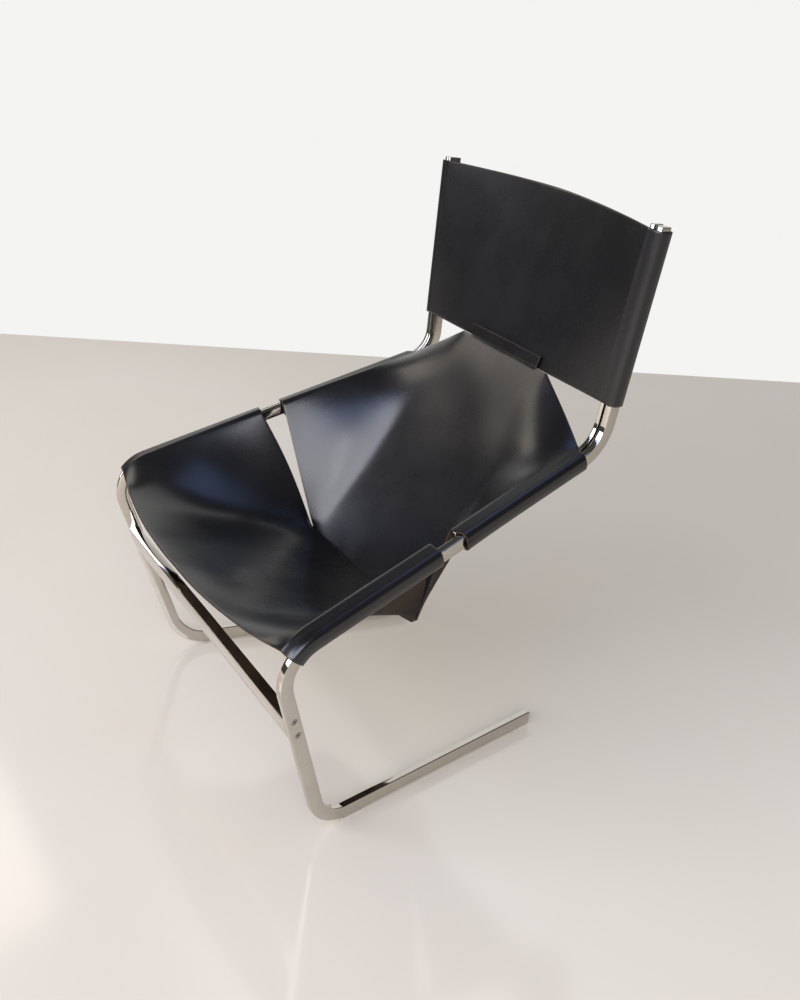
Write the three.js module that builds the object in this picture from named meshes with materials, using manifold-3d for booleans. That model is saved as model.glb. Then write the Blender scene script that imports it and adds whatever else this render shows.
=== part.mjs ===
import * as THREE from 'three';
import { mergeVertices } from 'three/addons/utils/BufferGeometryUtils.js';
import Module from 'manifold-3d';

// A cantilever lounge chair: two bent flat bars, one crossbar and three slung leather panels.
// Millimetres and degrees. +Z is up, the sitter looks along -Y, and +X is the sitter's left.

// Side frame bar, with each run measured between the sharp corners of its centre line
const barWidth = 24.5;
const barThickness = 13;
const barEdge = 1.2;
const bendRadius = 70;
const runnerLength = 498;
const legLength = 395;
const railLength = 699;
const postLength = 395;
const runnerHeading = 180;
const legHeading = 106;
const railHeading = 15.5;
const postHeading = 82.5;

// How the two frame planes stand: closer together at the back, wider apart at the top
const toeIn = 11.1;
const sideLean = 6.9;
const floorCorner = new THREE.Vector3(339.5, -424.8, 0);

// Leather, and the bars that clamp its hems
const clearance = 0.3;
const leatherThickness = 3.5;
const clampThickness = 8.5;
const clampEdge = 1;
const flapOverlap = 8;
const hemSlackOut = 2;
const hemSlackDown = 1.5;
const steepestDrop = 75;

// Hems and clamp bars along the rail, from its front corner, and along the post, from its lower one
const slitCentre = 342;
const slitSpread = 46;
const rearHemSetback = 0.7;
const backHemStart = 83;
const backHemSetback = 7;
const seatClampStart = 76;
const clampSetback = 6;

// Seat: the front edge hangs in a bow, and the two seat panels meet in a keel
const frontHemTurns = 4;
const frontEdgeBulge = 41;
const frontEdgeSag = 12;
const slitTipInset = 120.2;
const slitTipSetback = 30.2;
const slitTipDrop = 223;
const seamBow = 13;
const seamSag = 18;
const slitEdgeBulge = 8;
const keelDepth = 12;
const keelLift = 1.4;

// Back: its foot runs straight from each post to the tongue, and its head bows backwards
const tongueCornerInset = 145.8;
const tongueCornerAdvance = 4.8;
const tongueCornerRise = 2.8;
const tongueEdgeBulge = 2;
const backHeadBow = 48;
const lapHalfWidth = 110;
const lapHeight = 23;
const lapLift = 1;
const coverStripThickness = 3;

// Shares: where a panel's corners lie between its middle and the bar, and how full its curves are
const cornerShare = 0.625;
const frontEdgeBulgeShare = 2.2;
const frontEdgeSagShare = 2.8;
const backBowShare = 1.6;
const edgePullShare = 6;
const seatHemSlack = 1;
const rearHemFlare = 2.5;
const rearHemFlareShare = 3;
const backHemSlack = 0.5;

// Crossbar between the front legs
const crossbarHeight = 45;
const crossbarDepth = 19;
const crossbarEdge = 1;
const crossbarCentre = 250.5;
const crossbarScrewSpacing = 32;

// Fasteners
const crossbarScrew = { head: 6, headHeight: 3.3, shank: 3, length: 34, socket: 2.4, socketDepth: 2.6 };
const clampScrew = { head: 4.6, headHeight: 2.6, shank: 2.4, length: 20.5, socket: 1.8, socketDepth: 2 };
const rivet = { head: 4, headHeight: 1, shank: 1.8 };
const clampScrewInset = 30;
const keelRivetSpacing = 84;
const keelRivets = 5;
const keelRivetDrop = 7;
const jointRivetSpacing = 56;
const jointRivets = 4;

// Floor pads
const padHeight = 4;
const padLength = 37;
const frontPadStart = 48;
const rearPadSetback = 1;
const padInset = 0.5;

// Mesh fineness
const bendSteps = 10;
const acrossSteps = 16;
const seatSteps = 6;
const backSteps = 7;
const hemTurnSteps = 2;
const roundSides = 8;
const socketSides = 6;

const wasm = await Module();
wasm.setup();

const chair = new THREE.Group();
const radians = THREE.MathUtils.degToRad;
const slotWidth = leatherThickness + 2 * clearance;
const hemRadius = leatherThickness / 2 + clearance;
const edgeRadius = hemRadius + clearance;
const halfBar = barWidth / 2;
const clampOuter = -barThickness - slotWidth;
const clampInner = clampOuter - clampThickness;

function chromeMaterial() {
  return new THREE.MeshStandardMaterial({ color: '#c9c6c0', roughness: 0.12, metalness: 1 });
}

function screwMaterial() {
  return new THREE.MeshStandardMaterial({ color: '#b9b6b0', roughness: 0.25, metalness: 1 });
}

function leatherMaterial() {
  return new THREE.MeshStandardMaterial({ color: '#1b1a1c', roughness: 0.42, metalness: 0 });
}

function rivetMaterial() {
  return new THREE.MeshStandardMaterial({ color: '#2b2a2b', roughness: 0.4, metalness: 0.8 });
}

function padMaterial() {
  return new THREE.MeshStandardMaterial({ color: '#d9d6cc', roughness: 0.3, metalness: 0 });
}

function addMesh(name, geometry, material, matrix = new THREE.Matrix4()) {
  const mesh = new THREE.Mesh(geometry, material);
  mesh.name = name;
  mesh.applyMatrix4(matrix);
  chair.add(mesh);
}

// Joining and cutting closed meshes
function toSolid(geometry) {
  const bare = geometry.clone();
  bare.deleteAttribute('normal');
  bare.deleteAttribute('uv');
  const merged = mergeVertices(bare);
  const vertProperties = Float32Array.from(merged.attributes.position.array);
  const triVerts = Uint32Array.from(merged.index.array);
  return new wasm.Manifold(new wasm.Mesh({ numProp: 3, vertProperties, triVerts }));
}

function toGeometry(solid) {
  const mesh = solid.getMesh();
  const geometry = new THREE.BufferGeometry();
  geometry.setAttribute('position', new THREE.BufferAttribute(mesh.vertProperties, 3));
  geometry.setIndex(new THREE.BufferAttribute(mesh.triVerts, 1));
  geometry.computeVertexNormals();
  return geometry;
}

function cut(geometry, cutters) {
  const cutSolid = (solid, cutter) => solid.subtract(toSolid(cutter));
  return toGeometry(cutters.reduce(cutSolid, toSolid(geometry)));
}

function join(geometry, other) {
  return toGeometry(toSolid(geometry).add(toSolid(other)));
}

// A mesh from points and triangles, turned so that its faces point outwards
function closedGeometry(points, index) {
  const cross = new THREE.Vector3();
  let volume = 0;
  for (let i = 0; i < index.length; i += 3) {
    cross.crossVectors(points[index[i + 1]], points[index[i + 2]]);
    volume += points[index[i]].dot(cross);
  }
  if (volume < 0) index.reverse();
  const geometry = new THREE.BufferGeometry().setFromPoints(points);
  geometry.setIndex(index);
  geometry.computeVertexNormals();
  return geometry;
}

// The centre line of a side frame in its own plane: straight runs joined by equal bends
function bendTangent(turn) {
  return bendRadius * Math.tan(Math.abs(turn) / 2);
}

function makeCentreLine() {
  const headings = [runnerHeading, legHeading, railHeading, postHeading].map(radians);
  const lengths = [runnerLength, legLength, railLength, postLength];
  const pieces = [];
  const point = new THREE.Vector2(runnerLength, padHeight + halfBar);
  let start = 0;
  let tangentBefore = 0;
  headings.forEach((heading, i) => {
    const turn = i + 1 < headings.length ? headings[i + 1] - heading : 0;
    const tangent = bendTangent(turn);
    const length = lengths[i] - tangentBefore - tangent;
    const run = { start, length, point: point.clone(), heading, turn: 0, corner: start - tangentBefore };
    pieces.push(run);
    point.copy(alongPiece(run, length).point);
    start += length;
    if (turn) {
      const bend = { start, length: Math.abs(turn) * bendRadius, point: point.clone(), heading, turn };
      pieces.push(bend);
      point.copy(alongPiece(bend, bend.length).point);
      start += bend.length;
    }
    tangentBefore = tangent;
  });
  return pieces;
}

function alongPiece(piece, distance) {
  const heading = piece.heading + piece.turn * distance / piece.length;
  const normal = new THREE.Vector2(-Math.sin(heading), Math.cos(heading));
  const point = piece.point.clone();
  if (piece.turn) {
    const reach = bendRadius * Math.sign(piece.turn);
    const firstNormal = new THREE.Vector2(-Math.sin(piece.heading), Math.cos(piece.heading));
    point.addScaledVector(firstNormal, reach).addScaledVector(normal, -reach);
  } else {
    point.addScaledVector(new THREE.Vector2(normal.y, -normal.x), distance);
  }
  return { point, normal };
}

const centreLine = makeCentreLine();
const [runnerRun, , legRun, frontBend, railRun, , postRun] = centreLine;
const barEnd = postRun.start + postRun.length;
const onLeg = (place) => legRun.corner + place;
const onRail = (place) => railRun.corner + place;
const onPost = (place) => postRun.corner + place;

// Where the hems and the clamp bars start and stop
const frontHemFrom = railRun.start - frontBend.length * frontHemTurns / bendSteps;
const frontHemTo = onRail(slitCentre - slitSpread / 2);
const rearHemFrom = onRail(slitCentre + slitSpread / 2);
const rearHemTo = railRun.start + railRun.length - rearHemSetback;
const backHemFrom = onPost(backHemStart);
const backHemTo = barEnd - backHemSetback;
const seatClampFrom = onRail(seatClampStart);
const seatClampTo = frontHemTo - clampSetback;
const backClampFrom = rearHemFrom + clampSetback;

function atDistance(distance) {
  const piece = centreLine.findLast((one) => one.start <= distance) ?? runnerRun;
  return alongPiece(piece, distance - piece.start);
}

// The frame plane: one axis along the runner, one up the frame and one straight out of its face
function sideAxes(side) {
  const toe = radians(toeIn);
  const lean = radians(sideLean);
  const outward = new THREE.Vector3(side * Math.cos(toe), Math.sin(toe), 0);
  const along = new THREE.Vector3(-side * Math.sin(toe), Math.cos(toe), 0);
  const upward = new THREE.Vector3(0, 0, Math.cos(lean)).addScaledVector(outward, Math.sin(lean));
  const face = outward.clone().multiplyScalar(Math.cos(lean));
  face.z -= Math.sin(lean);
  const origin = floorCorner.clone().setX(side * floorCorner.x);
  return { along, upward, face, origin };
}

// A place on a side frame: a distance along the bar, then out from its face and across its width
function onSide(side, distance, out, across) {
  const { along, upward, face, origin } = sideAxes(side);
  const { point, normal } = atDistance(distance);
  return origin
    .addScaledVector(along, point.x + normal.x * across)
    .addScaledVector(upward, point.y + normal.y * across)
    .addScaledVector(face, out);
}

function sideMatrix(side) {
  const { along, upward, face, origin } = sideAxes(side);
  return new THREE.Matrix4().makeBasis(along, upward, face.multiplyScalar(side)).setPosition(origin);
}

// Flat bars that follow the centre line
function marksBetween(from, to) {
  const marks = [from, to];
  centreLine.forEach((piece) => {
    const steps = piece.turn ? bendSteps : 1;
    for (let i = 0; i <= steps; i++) marks.push(piece.start + piece.length * i / steps);
  });
  const inside = marks.filter((mark) => mark >= from && mark <= to).sort((a, b) => a - b);
  return inside.filter((mark, i) => i === 0 || mark - inside[i - 1] > clearance);
}

function flatBar(side, from, to, outer, inner, edge) {
  const places = marksBetween(from, to).map(atDistance);
  const over = places.map(({ point, normal }) => point.clone().addScaledVector(normal, halfBar));
  const under = places.map(({ point, normal }) => point.clone().addScaledVector(normal, -halfBar));
  const geometry = new THREE.ExtrudeGeometry(new THREE.Shape([...over, ...under.reverse()]), {
    depth: outer - inner - 2 * edge,
    bevelThickness: edge,
    bevelSize: edge,
    bevelOffset: -edge,
    bevelSegments: 1,
  });
  geometry.translate(0, 0, (side > 0 ? inner : -outer) + edge);
  return geometry;
}

// Countersunk screws with a six-sided socket, pointing down from a head that faces up
function screwGeometry({ head, headHeight, shank, length, socket, socketDepth }) {
  const body = new THREE.LatheGeometry([
    new THREE.Vector2(0, -length),
    new THREE.Vector2(shank, -length),
    new THREE.Vector2(shank, -headHeight),
    new THREE.Vector2(head, 0),
    new THREE.Vector2(0, 0),
  ], roundSides);
  const recess = new THREE.CylinderGeometry(socket, socket, 2 * socketDepth, socketSides);
  return cut(body, [recess]).rotateX(Math.PI / 2);
}

function screwHole({ head, headHeight, shank, length }) {
  const hole = new THREE.LatheGeometry([
    new THREE.Vector2(0, -length - clearance),
    new THREE.Vector2(shank + clearance, -length - clearance),
    new THREE.Vector2(shank + clearance, -headHeight - clearance),
    new THREE.Vector2(head + clearance, -clearance),
    new THREE.Vector2(head + clearance, clearance),
    new THREE.Vector2(0, clearance),
  ], roundSides);
  return hole.rotateX(Math.PI / 2);
}

// A place for a fastener on a side frame, its head facing out from the chair or in
function fastenerMatrix(side, distance, out, facing) {
  const { along, face } = sideAxes(side);
  const axis = face.multiplyScalar(facing);
  const across = new THREE.Vector3().crossVectors(axis, along);
  return new THREE.Matrix4().makeBasis(along, across, axis).setPosition(onSide(side, distance, out, 0));
}

// Clamp screws stand in threes: one near each end of a hem and one midway
function threeMarks(from, to) {
  const first = from + clampScrewInset;
  const last = to - clampScrewInset;
  return [first, (first + last) / 2, last];
}

const crossbarScrewMarks = [-1, 1].map((end) => onLeg(crossbarCentre + end * crossbarScrewSpacing / 2));
const seatScrewMarks = threeMarks(seatClampFrom, seatClampTo);
const railScrewMarks = threeMarks(backClampFrom, rearHemTo);
const postScrewMarks = threeMarks(backHemFrom, backHemTo);

function crossbarHoles(side) {
  return crossbarScrewMarks.map((mark) => screwHole(crossbarScrew)
    .applyMatrix4(fastenerMatrix(side, mark, 0, 1)));
}

function clampHoles(side, marks) {
  return marks.map((mark) => screwHole(clampScrew)
    .applyMatrix4(fastenerMatrix(side, mark, clampInner, -1)));
}

// Holes through the flaps of both hems, for the clamp screws to pass
function flapHoles(marks) {
  const radius = clampScrew.shank + clearance;
  const middle = (clampOuter - barThickness) / 2;
  return [-1, 1].flatMap((side) => marks.map((mark) => {
    const hole = new THREE.CylinderGeometry(radius, radius, slotWidth, roundSides).rotateX(Math.PI / 2);
    return hole.applyMatrix4(fastenerMatrix(side, mark, middle, 1));
  }));
}

// Side frames, clamp bars and their screws
function addSideBar(name, side, [from, to], [outer, inner], edge, holes) {
  const matrix = sideMatrix(side);
  const toBar = matrix.clone().invert();
  const bar = flatBar(side, from, to, outer, inner, edge);
  addMesh(name, cut(bar, holes.map((hole) => hole.applyMatrix4(toBar))), chromeMaterial(), matrix);
}

function addScrews(name, side, marks, size, out, facing) {
  marks.forEach((mark, i) => {
    const matrix = fastenerMatrix(side, mark, out, facing);
    addMesh(`${name}_${i + 1}`, screwGeometry(size), screwMaterial(), matrix);
  });
}

function makeSide(side, word) {
  const backMarks = [...railScrewMarks, ...postScrewMarks];
  const clampFaces = [clampOuter, clampInner];
  const seatSpan = [seatClampFrom, seatClampTo];
  const backSpan = [backClampFrom, barEnd];
  const frameHoles = [...crossbarHoles(side), ...clampHoles(side, [...seatScrewMarks, ...backMarks])];
  addSideBar(`${word}_side_frame`, side, [0, barEnd], [0, -barThickness], barEdge, frameHoles);
  const seatHoles = clampHoles(side, seatScrewMarks);
  addSideBar(`${word}_seat_clamp_bar`, side, seatSpan, clampFaces, clampEdge, seatHoles);
  const backHoles = clampHoles(side, backMarks);
  addSideBar(`${word}_back_clamp_bar`, side, backSpan, clampFaces, clampEdge, backHoles);
  addScrews(`${word}_seat_clamp_screw`, side, seatScrewMarks, clampScrew, clampInner, -1);
  addScrews(`${word}_back_clamp_screw`, side, backMarks, clampScrew, clampInner, -1);
  addScrews(`${word}_crossbar_screw`, side, crossbarScrewMarks, crossbarScrew, 0, 1);
}

// Floor pads: wedges that take up the lean of the bar, so that their soles lie flat
function makePads(side, word) {
  const slope = Math.tan(radians(sideLean));
  const outer = padInset;
  const inner = barThickness - padInset;
  const section = new THREE.Shape([
    new THREE.Vector2(side * outer, -outer * slope),
    new THREE.Vector2(side * outer, padHeight - clearance),
    new THREE.Vector2(side * inner, padHeight - clearance),
    new THREE.Vector2(side * inner, -inner * slope),
  ]);
  const starts = { front: frontPadStart, rear: runnerLength - rearPadSetback - padLength };
  Object.entries(starts).forEach(([end, start]) => {
    const pad = new THREE.ExtrudeGeometry(section, { depth: padLength, bevelEnabled: false });
    pad.rotateY(Math.PI / 2);
    pad.translate(start, 0, 0);
    addMesh(`${word}_${end}_floor_pad`, pad, padMaterial(), sideMatrix(side));
  });
}

// Crossbar: a flat bar on edge, its ends cut to the planes of the two frames' inner faces
function crossbarSection() {
  const front = -halfBar;
  const rear = crossbarDepth - halfBar;
  const half = crossbarHeight / 2;
  return [
    [front + crossbarEdge, -half], [rear - crossbarEdge, -half],
    [rear, crossbarEdge - half], [rear, half - crossbarEdge],
    [rear - crossbarEdge, half], [front + crossbarEdge, half],
    [front, half - crossbarEdge], [front, crossbarEdge - half],
  ];
}

function makeCrossbar() {
  const { face, origin } = sideAxes(1);
  const middle = onSide(1, onLeg(crossbarCentre), -barThickness, 0);
  const above = onSide(1, onLeg(crossbarCentre + crossbarHeight), -barThickness, 0);
  const rise = new THREE.Vector2(above.y - middle.y, above.z - middle.z).normalize();
  const ring = crossbarSection().map(([depth, height]) => {
    const y = middle.y + rise.y * depth + rise.x * height;
    const z = middle.z - rise.x * depth + rise.y * height;
    const reach = -barThickness - clearance - face.y * (y - origin.y) - face.z * z;
    return new THREE.Vector3(origin.x + reach / face.x, y, z);
  });
  const farRing = ring.map((point) => new THREE.Vector3(-point.x, point.y, point.z));
  const bar = prism(farRing, ring);
  addMesh('front_crossbar', cut(bar, [...crossbarHoles(-1), ...crossbarHoles(1)]), chromeMaterial());
}

// A closed solid between two matching rings of points
function prism(first, second) {
  const size = first.length;
  const index = [];
  for (let i = 0; i < size; i++) {
    const next = (i + 1) % size;
    index.push(i, next, size + next, i, size + next, size + i);
  }
  for (let i = 1; i + 1 < size; i++) {
    index.push(0, i + 1, i, size, size + i, size + i + 1);
  }
  return closedGeometry([...first, ...second], index);
}

// A sheet of one thickness, from rows of points through its middle
function sheet(rows, thickness) {
  const down = rows.length;
  const over = rows[0].length;
  const within = (value, count) => THREE.MathUtils.clamp(value, 0, count - 1);
  const at = (i, j) => rows[within(i, down)][within(j, over)];
  const top = [];
  const bottom = [];
  for (let i = 0; i < down; i++) {
    for (let j = 0; j < over; j++) {
      const across = at(i, j + 1).clone().sub(at(i, j - 1));
      const along = at(i + 1, j).clone().sub(at(i - 1, j));
      const half = across.cross(along).setLength(thickness / 2);
      top.push(at(i, j).clone().add(half));
      bottom.push(at(i, j).clone().sub(half));
    }
  }
  const index = [];
  const under = down * over;
  const quad = (a, b, c, d) => index.push(a, b, c, a, c, d);
  const wall = (a, b) => quad(a, under + a, under + b, b);
  for (let i = 0; i + 1 < down; i++) {
    const left = i * over;
    const right = left + over - 1;
    for (let j = left; j < right; j++) {
      quad(j, j + 1, j + over + 1, j + over);
      quad(under + j, under + j + over, under + j + over + 1, under + j + 1);
    }
    wall(left + over, left);
    wall(right, right + over);
  }
  for (let j = 0; j + 1 < over; j++) {
    const far = (down - 1) * over + j;
    wall(j, j + 1);
    wall(far + 1, far);
  }
  return closedGeometry([...top, ...bottom], index);
}

// The hem: out of the slot behind the bar, under it, up its outer face and over its top
function hemPoints(side, distance, slack) {
  const points = [[-barThickness - hemRadius, flapOverlap]];
  const turn = (out, across, first) => {
    for (let i = 0; i <= hemTurnSteps; i++) {
      const angle = first + Math.PI / 2 * i / hemTurnSteps;
      points.push([out + hemRadius * Math.cos(angle), across + hemRadius * Math.sin(angle)]);
    }
  };
  turn(-barThickness, -halfBar, Math.PI);
  turn(hemSlackOut * slack, -halfBar - hemSlackDown * slack, -Math.PI / 2);
  turn(0, halfBar, 0);
  return points.map(([out, across]) => onSide(side, distance, out, across));
}

// The line at the clamp bar's inner edge where a panel leaves the hem, once it has dropped by an angle
function leavingPoint(side, distance, drop) {
  const out = clampInner - edgeRadius * Math.sin(drop);
  const across = halfBar + edgeRadius * Math.cos(drop);
  return onSide(side, distance, out, across);
}

function dropTowards(side, distance, target) {
  const { along, upward, face } = sideAxes(side);
  const { normal } = atDistance(distance);
  const away = target.clone().sub(leavingPoint(side, distance, 0));
  const across = along.multiplyScalar(normal.x).addScaledVector(upward, normal.y);
  const drop = Math.atan2(-away.dot(across), -away.dot(face));
  return THREE.MathUtils.clamp(drop, 0, radians(steepestDrop));
}

// A panel hung between the bars: surface(u, v) runs across from -1 to 1 and along from 0 to 1
function panelRow(surface, distance, v, slack) {
  const edges = [-1, 1].map((side) => {
    const drop = dropTowards(side, distance, surface(side * (1 - 2 / acrossSteps), v));
    const edge = leavingPoint(side, distance, drop);
    const hem = [...hemPoints(side, distance, slack), leavingPoint(side, distance, drop / 2)];
    return { hem, pull: edge.sub(surface(side, v)) };
  });
  const middle = [];
  for (let j = 0; j <= acrossSteps; j++) {
    const u = 2 * j / acrossSteps - 1;
    const pull = edges[u < 0 ? 0 : 1].pull;
    middle.push(surface(u, v).addScaledVector(pull, Math.abs(u) ** edgePullShare));
  }
  return [...edges[0].hem, ...middle, ...edges[1].hem.reverse()];
}

function hungPanel(surface, [from, to], steps, slackAt) {
  const straightFrom = Math.max(from, railRun.start);
  const marks = marksBetween(from, straightFrom);
  for (let i = 1; i <= steps; i++) {
    marks.push(straightFrom + (to - straightFrom) * i / steps);
  }
  return marks.map((mark) => {
    const v = (mark - from) / (to - from);
    return panelRow(surface, mark, v, slackAt(v));
  });
}

// Curves from bar to bar that the panels are ruled between
function bowedLine(end, forward, sag, forwardShare, sagShare) {
  return (u) => new THREE.Vector3(
    end.x * u,
    end.y - forward * (1 - Math.abs(u) ** forwardShare),
    end.z - sag * (1 - Math.abs(u) ** sagShare),
  );
}

// A line that crosses between two corners and runs out from each to its bar
function corneredLine(corner, end, bow, sag, bulge) {
  return (u) => {
    const spread = Math.abs(u);
    if (spread <= cornerShare) {
      const share = u / cornerShare;
      const hollow = 1 - share * share;
      return new THREE.Vector3(corner.x * share, corner.y + bow * hollow, corner.z - sag * hollow);
    }
    const share = (spread - cornerShare) / (1 - cornerShare);
    const point = corner.clone().lerp(end, share);
    point.y += bulge * Math.sin(Math.PI * share);
    point.x *= Math.sign(u);
    return point;
  };
}

function ruled(first, second) {
  return (u, v) => first(u).lerp(second(u), v);
}

// The tip of the slit, the corner of the tongue and the slope of the back at its middle
const slitTip = leavingPoint(1, onRail(slitCentre), 0);
slitTip.add(new THREE.Vector3(-slitTipInset, slitTipSetback, -slitTipDrop));
const backFoot = leavingPoint(1, backHemFrom, 0);
const backHead = leavingPoint(1, backHemTo, 0);
const tongueCorner = backFoot.clone();
tongueCorner.add(new THREE.Vector3(-tongueCornerInset, -tongueCornerAdvance, tongueCornerRise));
const backRise = backSurface()(cornerShare / 2, 1).sub(backSurface()(cornerShare / 2, 0));
const backSlope = Math.atan2(backRise.y, backRise.z);
const backForward = new THREE.Vector3(0, -Math.cos(backSlope), Math.sin(backSlope));
const seamOffset = new THREE.Vector3(0, slotWidth / 2, 0);

function frontEdgeLine() {
  const end = leavingPoint(1, frontHemFrom, 0);
  return bowedLine(end, frontEdgeBulge, frontEdgeSag, frontEdgeBulgeShare, frontEdgeSagShare);
}

function frontSeamLine() {
  const corner = slitTip.clone().sub(seamOffset);
  return corneredLine(corner, leavingPoint(1, frontHemTo, 0), seamBow, seamSag, slitEdgeBulge);
}

function rearSeamLine() {
  const corner = slitTip.clone().add(seamOffset);
  return corneredLine(corner, leavingPoint(1, rearHemFrom, 0), seamBow, seamSag, 0);
}

function tongueLine() {
  const corner = tongueCorner.clone().addScaledVector(backForward, slotWidth);
  return corneredLine(corner, leavingPoint(1, rearHemTo, 0), 0, 0, tongueEdgeBulge);
}

function backSurface() {
  return ruled(
    corneredLine(tongueCorner, backFoot, 0, 0, 0),
    bowedLine(backHead, -backHeadBow, 0, backBowShare, 1),
  );
}

// A layer of leather laid on the middle of the back panel's front
function backLayer(offset, halfWidth, from, to, thickness) {
  const surface = backSurface();
  const reach = cornerShare * halfWidth / tongueCorner.x;
  const height = backHemTo - backHemFrom;
  const rows = [from / height, (from + to) / height / 2, to / height].map((v) => {
    const row = [];
    for (let j = 0; j <= acrossSteps / 2; j++) {
      const u = reach * (4 * j / acrossSteps - 1);
      row.push(surface(u, v).addScaledVector(backForward, offset));
    }
    return row;
  });
  return sheet(rows, thickness);
}

// The turned-down edge of a seat panel at the keel
function keelFlange(line) {
  const rows = [keelLift, -keelDepth].map((height) => {
    const row = [];
    for (let j = 0; j <= acrossSteps / 2; j++) {
      const point = line(cornerShare * (4 * j / acrossSteps - 1));
      point.z += height;
      row.push(point);
    }
    return row;
  });
  return sheet(rows, leatherThickness);
}

// Rivets that close on two layers of leather
function rivetProfile(grip) {
  const { head, headHeight, shank } = rivet;
  return [
    new THREE.Vector2(0, -grip - headHeight),
    new THREE.Vector2(head, -grip - headHeight),
    new THREE.Vector2(head, -grip),
    new THREE.Vector2(shank, -grip),
    new THREE.Vector2(shank, grip),
    new THREE.Vector2(head, grip),
    new THREE.Vector2(head, grip + headHeight),
    new THREE.Vector2(0, grip + headHeight),
  ];
}

const rivetGrip = slotWidth / 2 + leatherThickness / 2 + clearance;

// Places in a row, evenly spaced about the middle
function evenPlaces(count, spacing) {
  return Array.from({ length: count }, (_, i) => spacing * (i - (count - 1) / 2));
}

function keelRivetMatrices() {
  const line = corneredLine(slitTip, slitTip, seamBow, seamSag, 0);
  return evenPlaces(keelRivets, keelRivetSpacing).map((place) => {
    const u = cornerShare * place / slitTip.x;
    const step = cornerShare / acrossSteps;
    const tangent = line(u + step).sub(line(u - step)).setZ(0);
    const point = line(u);
    point.z -= keelRivetDrop;
    return new THREE.Matrix4().makeRotationZ(Math.atan2(tangent.y, tangent.x)).setPosition(point);
  });
}

function jointRivetMatrices() {
  const surface = backSurface();
  const height = backHemTo - backHemFrom;
  return evenPlaces(jointRivets, jointRivetSpacing).map((place) => {
    const point = surface(cornerShare * place / tongueCorner.x, lapHeight / height / 2);
    point.addScaledVector(backForward, slotWidth / 2);
    return new THREE.Matrix4().makeRotationX(-backSlope).setPosition(point);
  });
}

function rivetHoles(matrices) {
  const radius = rivet.shank + clearance;
  return matrices.map((matrix) => new THREE.CylinderGeometry(radius, radius, 4 * rivetGrip, roundSides)
    .applyMatrix4(matrix));
}

function addRivets(name, matrices) {
  matrices.forEach((matrix, i) => {
    const body = new THREE.LatheGeometry(rivetProfile(rivetGrip), roundSides);
    addMesh(`${name}_${i + 1}`, body, rivetMaterial(), matrix);
  });
}

// The three leather panels, the strip that covers the joint at the back, and the rivets
function makeFrontSeatPanel() {
  const surface = ruled(frontEdgeLine(), frontSeamLine());
  const rows = hungPanel(surface, [frontHemFrom, frontHemTo], seatSteps, () => seatHemSlack);
  const whole = join(sheet(rows, leatherThickness), keelFlange(frontSeamLine()));
  const holes = [...flapHoles(seatScrewMarks), ...rivetHoles(keelRivetMatrices())];
  addMesh('front_seat_panel', cut(whole, holes), leatherMaterial());
}

function makeRearSeatPanel() {
  const slackAt = (v) => seatHemSlack + rearHemFlare * (1 - v) ** rearHemFlareShare;
  const rows = hungPanel(ruled(rearSeamLine(), tongueLine()), [rearHemFrom, rearHemTo], seatSteps, slackAt);
  const panel = join(sheet(rows, leatherThickness), keelFlange(rearSeamLine()));
  const lap = backLayer(slotWidth, lapHalfWidth, -lapLift, lapHeight, leatherThickness);
  const rivets = rivetHoles([...keelRivetMatrices(), ...jointRivetMatrices()]);
  const holes = [...flapHoles(railScrewMarks), ...rivets];
  addMesh('rear_seat_panel', cut(join(panel, lap), holes), leatherMaterial());
}

function makeBackPanel() {
  const rows = hungPanel(backSurface(), [backHemFrom, backHemTo], backSteps, () => backHemSlack);
  const holes = [...flapHoles(postScrewMarks), ...rivetHoles(jointRivetMatrices())];
  addMesh('back_panel', cut(sheet(rows, leatherThickness), holes), leatherMaterial());
}

function makeCoverStrip() {
  const offset = slotWidth / 2 + rivetGrip + coverStripThickness / 2;
  const strip = backLayer(offset, lapHalfWidth, lapLift, lapHeight, coverStripThickness);
  const radius = rivet.head + clearance;
  const depth = 2 * (rivetGrip + rivet.headHeight + clearance);
  const reliefs = jointRivetMatrices().map((matrix) => new THREE
    .CylinderGeometry(radius, radius, depth, roundSides)
    .applyMatrix4(matrix));
  addMesh('back_joint_cover_strip', cut(strip, reliefs), leatherMaterial());
}

function makeChair() {
  makeSide(1, 'left');
  makeSide(-1, 'right');
  makeCrossbar();
  makePads(1, 'left');
  makePads(-1, 'right');
  makeFrontSeatPanel();
  makeRearSeatPanel();
  makeBackPanel();
  makeCoverStrip();
  addRivets('keel_rivet', keelRivetMatrices());
  addRivets('back_joint_rivet', jointRivetMatrices());
  const box = new THREE.Box3().setFromObject(chair, true);
  const centre = box.getCenter(new THREE.Vector3());
  chair.position.set(-centre.x, -centre.y, -box.min.z);
  return chair;
}

export default makeChair();
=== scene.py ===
# Cantilever lounge chair: bent chrome flat bars with slung black saddle leather
import math

import bpy
import numpy as np
from mathutils import Matrix, Vector, noise


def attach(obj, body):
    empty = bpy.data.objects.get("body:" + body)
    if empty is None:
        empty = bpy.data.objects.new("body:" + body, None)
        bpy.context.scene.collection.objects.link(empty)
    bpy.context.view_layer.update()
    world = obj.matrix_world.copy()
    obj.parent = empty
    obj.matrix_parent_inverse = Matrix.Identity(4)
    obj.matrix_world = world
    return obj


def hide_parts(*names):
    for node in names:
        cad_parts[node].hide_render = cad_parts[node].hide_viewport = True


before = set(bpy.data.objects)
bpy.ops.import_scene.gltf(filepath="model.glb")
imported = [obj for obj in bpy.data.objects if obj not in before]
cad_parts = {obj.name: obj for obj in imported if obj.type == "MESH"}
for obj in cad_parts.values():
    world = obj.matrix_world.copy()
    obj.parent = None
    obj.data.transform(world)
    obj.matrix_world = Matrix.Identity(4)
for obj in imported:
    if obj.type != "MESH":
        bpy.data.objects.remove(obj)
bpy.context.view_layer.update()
mm = 0.001


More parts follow.
